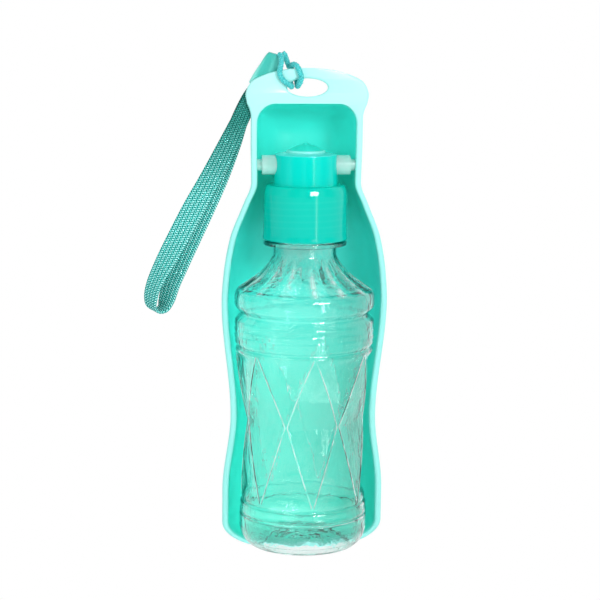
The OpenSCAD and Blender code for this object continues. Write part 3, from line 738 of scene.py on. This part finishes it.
for i in range(49):
    h = support_h + 5.0 + (bottle_h - 0.6 - support_h - 5.0) * i / 48
    around = [(k * sector + a + first_turn) % 360
              for k in range(panels) for a in sector_angles(sector / 4)]
    outer.append([body_point(neck_r + thread_profile(h, a, support_h + 8.0), a, h) for a in around])
outer += [round_ring(bottle_h - 0.2, neck_r - 0.1), round_ring(bottle_h, neck_r - 0.6)]
clear_bottle = skinned("clear_bottle", outer + inner)


def edge_shares(row):
    """How near a ring's points lie to a blown edge: a crease between facets or a flute's crest."""
    out = []
    for k in range(panels):
        for a in sector_angles(column_crease(row)):
            if row[2] == FACET:
                share = max(0, 1 - abs(abs(a) - row[3]) / 0.6)
            elif row[2] == FLUTE:
                crest = abs(math.cos(math.radians(a * flutes / 2))) ** 12
                share = 0.5 * row[3] / flute_depth * crest
            else:
                share = 0
            out.append(share)
    return out


blank = [0.0] * len(outer[0])
shares = blank * len(under_base)
for row in body_rows:
    shares += edge_shares(row)
shares += blank * (len(outer) + len(inner) - len(under_base) - len(body_rows))
painted_glint_edge = clear_bottle.data.attributes.new("painted_glint_edge", "FLOAT", "POINT")
painted_glint_edge.data.foreach_set("value", shares)


def joined(tree, share, first, second):
    """One finish that turns into a second as the share goes from 0 to 1."""
    node = tree.nodes.new("ShaderNodeMixShader")
    for socket, source in zip(node.inputs, (share, first, second)):
        tree.links.new(source, socket)
    return node.outputs[0]


bottle_finish, tree, shader = finish_of("clear_blown_polymer", {
    "Base Color": (0.92, 0.965, 0.96, 1), "Transmission Weight": 1.0, "Roughness": 0.02,
    "IOR": 1.36, "Coat Weight": 0.45, "Coat IOR": 1.5, "Coat Roughness": 0.02})
stretch = placed_node(tree, "ShaderNodeMapping", Scale=(1.0, 1.0, 0.55))
flow = add_node(tree, "ShaderNodeTexNoise", Scale=70.0, Detail=3.0)
ripple = add_node(tree, "ShaderNodeTexNoise", Scale=260.0, Detail=2.0)
for pattern in (flow, ripple):
    tree.links.new(stretch.outputs[0], pattern.inputs["Vector"])
relief(tree, shader, math_node(tree, "ADD", flow.outputs["Fac"], math_node(
    tree, "MULTIPLY", ripple.outputs["Fac"], 0.045)), 0.003, 0.6)
# White is painted along the creases and the flute crests, broken up by noise: painted highlights.
edge = add_node(tree, "ShaderNodeAttribute")
edge.attribute_name = "painted_glint_edge"
painted_glint_white = add_node(tree, "ShaderNodeBsdfDiffuse", Color=(0.93, 0.99, 0.98, 1))
painted_glint_noise = placed_node(tree, "ShaderNodeTexNoise", Scale=160.0, Detail=2.0).outputs["Fac"]
painted_glint_breaks = math_node(tree, "MULTIPLY", math_node(tree, "SUBTRACT", painted_glint_noise, 0.33), 4.0, clamp=True)
edge_share = math_node(tree, "MULTIPLY", edge.outputs["Fac"],
                       math_node(tree, "MULTIPLY", painted_glint_breaks, 0.85))
painted_glint_finish = joined(tree, edge_share, shader.outputs[0], painted_glint_white.outputs[0])
clear_way = add_node(tree, "ShaderNodeBsdfTransparent", Color=(0.89, 0.935, 0.93, 1))
is_shadow = add_node(tree, "ShaderNodeLightPath").outputs["Is Shadow Ray"]
tree.links.new(joined(tree, is_shadow, painted_glint_finish, clear_way.outputs[0]),
               tree.nodes["Material Output"].inputs["Surface"])
clear_bottle.data.materials.append(bottle_finish)
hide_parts("bottle")
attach(clear_bottle, "bottle")

# ---- Screw cap ------------------------------------------------------------
# Injection-moulded cap in tinted, slightly cloudy plastic. Its smooth skirt shows the thread
# through the wall, and the narrower housing on top holds the valve spindle.


def turned(name, outline):
    """A piece turned round the bottle's axis from its closed outline of (radius, height)."""
    n, m = len(outline), 160
    rings = []
    for k in range(m):
        a = 2 * math.pi * k / m
        rings.append([(r * math.cos(a) * MM, (r * math.sin(a) + axis_y) * MM, z * MM)
                      for r, z in outline])
    mesh = bpy.data.meshes.new(name)
    mesh.from_pydata([p for ring in rings for p in ring], [],
                     [(i * n + j, ((i + 1) % m) * n + j, ((i + 1) % m) * n + (j + 1) % n,
                       i * n + (j + 1) % n) for i in range(m) for j in range(n)])
    face_outwards(mesh)
    mesh.shade_smooth()
    piece = bpy.data.objects.new(name, mesh)
    bpy.context.scene.collection.objects.link(piece)
    return piece


def rounded(points, radius):
    """The outline with each corner rounded, by less where a side is short."""
    out, steps = [], 4
    for i, p in enumerate(points):
        a = Vector(points[i - 1]) - Vector(p)
        b = Vector(points[(i + 1) % len(points)]) - Vector(p)
        r = min(radius, a.length * 0.45, b.length * 0.45)
        start, end = Vector(p) + a.normalized() * r, Vector(p) + b.normalized() * r
        for s in range(steps + 1):
            t = s / steps
            q = start * (1 - t) ** 2 + Vector(p) * 2 * t * (1 - t) + end * t ** 2
            out.append((q.x, q.y))
    return out


housing_top, bore_r = cap_top_z + 15.6, 5.05
valve_cap = turned("valve_cap", rounded([
    (19.4, cap_bottom_z), (21.4, cap_bottom_z), (21.75, cap_bottom_z + 0.5),
    (21.75, cap_bottom_z + 1.0), (21.4, cap_bottom_z + 2.8), (21.15, cap_top_z - 4.2),
    (20.5, cap_top_z - 1.1), (19.8, cap_top_z), (16.5, cap_top_z), (16.2, cap_top_z + 0.4),
    (15.85, housing_top - 0.1), (14.9, housing_top), (10.0, housing_top + 0.9), (10.0, housing_top),
    (2.5, housing_top), (2.5, cap_top_z - 2.2), (19.4, cap_top_z - 2.2)], 0.7))
bore = [[(x * MM, (axis_y + bore_r * math.cos(2 * math.pi * k / 96)) * MM,
          (pivot_z + bore_r * math.sin(2 * math.pi * k / 96)) * MM) for k in range(96)]
        for x in (-24, 24)]
cut_away(valve_cap, skinned("spindle_cutter", bore))
valve_cap.data.set_sharp_from_angle(angle=math.radians(40))
cap_finish, tree, shader = finish_of("tinted_cloudy_plastic", {
    "Roughness": 0.11, "Subsurface Weight": 0.15, "Subsurface Radius": (0.2, 1.0, 0.9),
    "Subsurface Scale": 0.003, "Specular IOR Level": 0.18})
spot = placed_node(tree, "ShaderNodeSeparateXYZ").outputs
turn = math_node(tree, "DIVIDE", math_node(tree, "ARCTAN2", math_node(
    tree, "SUBTRACT", spot[1], axis_y * MM), spot[0]), 2 * math.pi)
lead = math_node(tree, "SUBTRACT", math_node(tree, "DIVIDE", spot[2], thread_pitch * MM), turn)
crest = math_node(tree, "POWER", math_node(tree, "ABSOLUTE", math_node(
    tree, "SINE", math_node(tree, "MULTIPLY", lead, math.pi))), 6.0)
skirt_inset, cap_fade = 5, 0.044
below_top = math_node(tree, "LESS_THAN", spot[2], (cap_top_z - skirt_inset) * MM)
above_edge = math_node(tree, "GREATER_THAN", spot[2], (cap_bottom_z + skirt_inset) * MM)
shown = math_node(tree, "MULTIPLY", crest, math_node(tree, "MULTIPLY", below_top, above_edge))
body = ramp_node(tree, share_from(tree, spot[2], cap_bottom_z * MM, cap_fade), [
    (0.0, (0.0, 0.58, 0.47)), (0.35, (0.0, 0.59, 0.47)), (0.63, (0.0, 0.61, 0.48)),
    (0.66, (0.0, 0.69, 0.58)), (0.975, (0.0, 0.72, 0.61)), (0.988, (0.12, 0.79, 0.74))], "LINEAR")
tree.links.new(mixed(tree, math_node(tree, "MULTIPLY", shown, 0.02), body, (0.25, 0.95, 0.88)),
               shader.inputs["Base Color"])
valve_cap.data.materials.append(cap_finish)
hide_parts("screw_cap")
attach(valve_cap, "cap")

# ---- Outlet insert --------------------------------------------------------
# Small satin dome pressed into the housing, on a pale flange; the water leaves through the
# pinhole in its nipple.
flange_h, nipple_r = 1.9, 1.6


def cone_line(r, h, shares):
    """Domed line from the flange at radius r up to the nipple."""
    return [(r + (nipple_r - r) * s, flange_h + h * (0.45 * s + 0.55 * math.sin(math.pi / 2 * s)))
            for s in shares]


dome = turned("outlet_nipple_dome", [(r, z + housing_top) for r, z in (
    [(8.7, 0), (9.9, 0), (9.9, 1.6), (9.6, 1.85)] + cone_line(9.2, 2.9, [k / 12 for k in range(13)])
    + [(1.5, 5.3), (1.15, 5.6), (0.7, 5.6), (0.7, 3.6)]
    + cone_line(8.2, 1.7, [1 - k / 12 for k in range(13)]))])
dome_finish, tree, shader = finish_of("satin_tinted_plastic", {"Roughness": 0.35})
cloud = placed_node(tree, "ShaderNodeTexNoise", Scale=220.0, Detail=2.0).outputs["Fac"]
on_flange = math_node(tree, "LESS_THAN", placed_node(tree, "ShaderNodeSeparateXYZ").outputs[2],
                      (housing_top + flange_h + 0.05) * MM)
tint = ramp_node(tree, cloud, [(0.3, (0.03, 0.78, 0.64)), (0.7, (0.04, 0.84, 0.70))])
tree.links.new(mixed(tree, math_node(tree, "MULTIPLY", on_flange, 0.7), tint, (0.36, 0.96, 0.90)),
               shader.inputs["Base Color"])
relief(tree, shader, cloud, 0.0001, 0.2)
dome.data.materials.append(dome_finish)
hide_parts("outlet_dome")
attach(dome, "cap")

# ---- Valve spindle and seals ----------------------------------------------
# Natural, milky plastic bar across the housing. Its flatted stubs sit in the trough's walls
# and two rubber rings seal it in the bore, so that turning the bottle opens the valve.


def cloudy_finish(name, constants, scale, detail, colours, depth, strength):
    """A finish whose colour and fine relief follow one noise."""
    finish, tree, shader = finish_of(name, constants)
    cloud = placed_node(tree, "ShaderNodeTexNoise", Scale=scale, Detail=detail).outputs["Fac"]
    tree.links.new(ramp_node(tree, cloud, list(zip((0.3, 0.7), colours))), shader.inputs["Base Color"])
    relief(tree, shader, cloud, depth, strength)
    return finish


def dress(name, finish):
    nodes[name].data.materials.clear()
    nodes[name].data.materials.append(finish)


dress("valve_spindle", cloudy_finish(
    "milky_natural_plastic", {"Roughness": 0.1, "Transmission Weight": 0.45}, 160.0, 3.0,
    ((0.56, 0.98, 0.91), (0.68, 1.0, 0.95)), 0.0003, 0.3))
seal_finish = cloudy_finish("black_seal_rubber", {"Roughness": 0.55}, 700.0, 2.0,
                            ((0.012, 0.013, 0.014), (0.03, 0.032, 0.034)), 0.0001, 0.3)
for name in ("spindle_seal_left", "spindle_seal_right"):
    dress(name, seal_finish)

# ---- Cap gasket -----------------------------------------------------------
# Soft white washer, punched from silicone sheet. It lies in the cap's roof, and the
# bottle's mouth seals on it.
dress("cap_gasket", cloudy_finish("white_silicone", {"Roughness": 0.5}, 400.0, 2.0,
                                  ((0.78, 0.80, 0.79), (0.86, 0.88, 0.87)), 0.0001, 0.2))

# ---- Studio ---------------------------------------------------------------
# White table that runs out of sight, a wide lamp above and to the right of the camera, a tall
# thin one at the right that draws the bright lines, and a weak soft one at the left. Shiny
# pieces mirror white cards with darker room between them, and a bright window among the cards.
mesh = bpy.data.meshes.new("table")
mesh.from_pydata([(-12, -8, 0), (12, -8, 0), (12, 16, 0), (-12, 16, 0)], [], [(0, 1, 2, 3)])
table = bpy.data.objects.new("table", mesh)
bpy.context.scene.collection.objects.link(table)
table.location.z = -0.0002


def seen_share(tree, ray):
    """1 where something is seen straight on, mirrored or through clear plastic, and 0 for light."""
    return math_node(tree, "MAXIMUM", ray["Is Camera Ray"], math_node(
        tree, "MAXIMUM", ray["Is Glossy Ray"], ray["Is Transmission Ray"]))


table_finish, tree, shader = finish_of("white_table", {
    "Base Color": (0.86, 0.86, 0.86, 1), "Roughness": 0.9, "Specular IOR Level": 0.0})
glow = add_node(tree, "ShaderNodeEmission", Color=(1, 1, 1, 1), Strength=1.0)
seen = seen_share(tree, add_node(tree, "ShaderNodeLightPath").outputs)
tree.links.new(joined(tree, seen, shader.outputs[0], glow.outputs[0]),
               tree.nodes["Material Output"].inputs["Surface"])
table.data.materials.append(table_finish)

world = bpy.data.worlds.new("studio")
bpy.context.scene.world = world
world.use_nodes = True
tree = world.node_tree
background = tree.nodes["Background"]
background.inputs["Color"].default_value = (1, 1, 1, 1)
even_light = 0.61
ray = add_node(tree, "ShaderNodeLightPath").outputs
level = math_node(tree, "ADD", math_node(
    tree, "MULTIPLY", seen_share(tree, ray), 1 - even_light), even_light)
way = add_node(tree, "ShaderNodeSeparateXYZ")
tree.links.new(add_node(tree, "ShaderNodeTexCoord").outputs["Generated"], way.inputs[0])
bearing = math_node(tree, "ARCTAN2", way.outputs[0],
                    math_node(tree, "MULTIPLY", way.outputs[1], -1.0))
around = math_node(tree, "ADD", math_node(tree, "DIVIDE", bearing, 2 * math.pi), 0.5)
cards = ramp_node(tree, around, [(place, (grey,) * 3) for place, grey in (
    (0.0, 0.9), (0.12, 0.9), (0.16, 0.4), (0.26, 0.4), (0.29, 1), (0.33, 1), (0.36, 0.12),
    (0.43, 0.12), (0.45, 0.6), (0.475, 0.6), (0.50, 0.1), (0.57, 0.1), (0.59, 1), (0.63, 1),
    (0.65, 0.25), (0.70, 0.3), (0.76, 1), (1.0, 0.95))], "LINEAR")
window_turn, window_rise, window_level = 0.5556, 0.309, 75.0
window_half_turn, window_half_rise = 0.033, 0.045
off_turn = math_node(tree, "ABSOLUTE", math_node(tree, "SUBTRACT", around, window_turn))
off_rise = math_node(tree, "ABSOLUTE", math_node(tree, "SUBTRACT", way.outputs[2], window_rise))
window = math_node(tree, "MULTIPLY", math_node(tree, "LESS_THAN", off_turn, window_half_turn),
                   math_node(tree, "LESS_THAN", off_rise, window_half_rise))
mirrored = tree.nodes.new("ShaderNodeMix")
tree.links.new(math_node(tree, "MULTIPLY", ray["Is Glossy Ray"], math_node(
    tree, "SUBTRACT", 1.0, ray["Is Transmission Ray"])), mirrored.inputs[0])
tree.links.new(level, mirrored.inputs[2])
tree.links.new(math_node(tree, "ADD", cards, math_node(tree, "MULTIPLY", window, window_level)),
               mirrored.inputs[3])
tree.links.new(mirrored.outputs[0], background.inputs["Strength"])


def soft_lamp(name, at, to, width, tall, watts):
    lamp = bpy.data.lights.new(name, "AREA")
    lamp.shape = "RECTANGLE"
    lamp.size, lamp.size_y, lamp.energy = width, tall, watts
    piece = bpy.data.objects.new(name, lamp)
    bpy.context.scene.collection.objects.link(piece)
    aim = (Vector(to) - Vector(at)).to_track_quat("-Z", "Y").to_matrix().to_4x4()
    piece.matrix_world = Matrix.Translation(at) @ aim
    return piece


soft_lamp("main_lamp", (0.427, -1.174, 0.558), (0, 0, 0.15), 0.40, 0.17, 5.0)
soft_lamp("strip_lamp", (0.24, -0.54, 0.27), (0, 0, 0.2), 0.03, 0.5, 0.5)
soft_lamp("left_softbox", (-0.9, -0.9, 0.7), (0, 0, 0.13), 0.7, 0.7, 3.6).visible_glossy = False
bpy.context.scene.view_settings.view_transform = "Standard"

# ---- Final update ---------------------------------------------------------
# The view layer is brought up to date.
bpy.context.view_layer.update()
